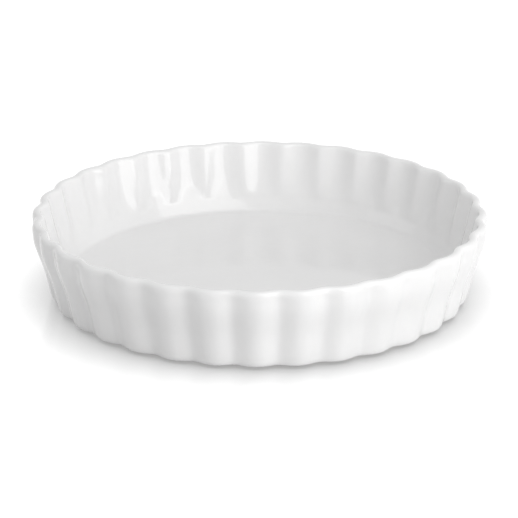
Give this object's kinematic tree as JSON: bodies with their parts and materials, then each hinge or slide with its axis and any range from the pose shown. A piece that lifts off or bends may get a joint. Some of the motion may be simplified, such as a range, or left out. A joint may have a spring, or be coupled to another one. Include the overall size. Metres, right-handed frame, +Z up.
{
  "type": "fluted quiche dish",
  "caption": "Round, shallow ceramic baking dish with a fluted, flared wall, a scalloped rim and a flat floor, glazed white and standing on a bare foot ring.",
  "frame": {"origin": "centre of the circle on which the foot ring stands", "axes": "+Z up along the dish's axis, out of its mouth; a rib's tip lies on +X, +Y, -X and -Y; -Y faces the viewer of the picture"},
  "size_m": [0.254, 0.254, 0.0474],
  "materials": {
    "porcelain": "unglazed, fine and matt",
    "glaze": "white gloss"
  },
  "bodies": {
    "root": {"porcelain_body": "porcelain", "glaze_coat": "glaze", "underside_glaze": "glaze"}
  },
  "joints": []
}
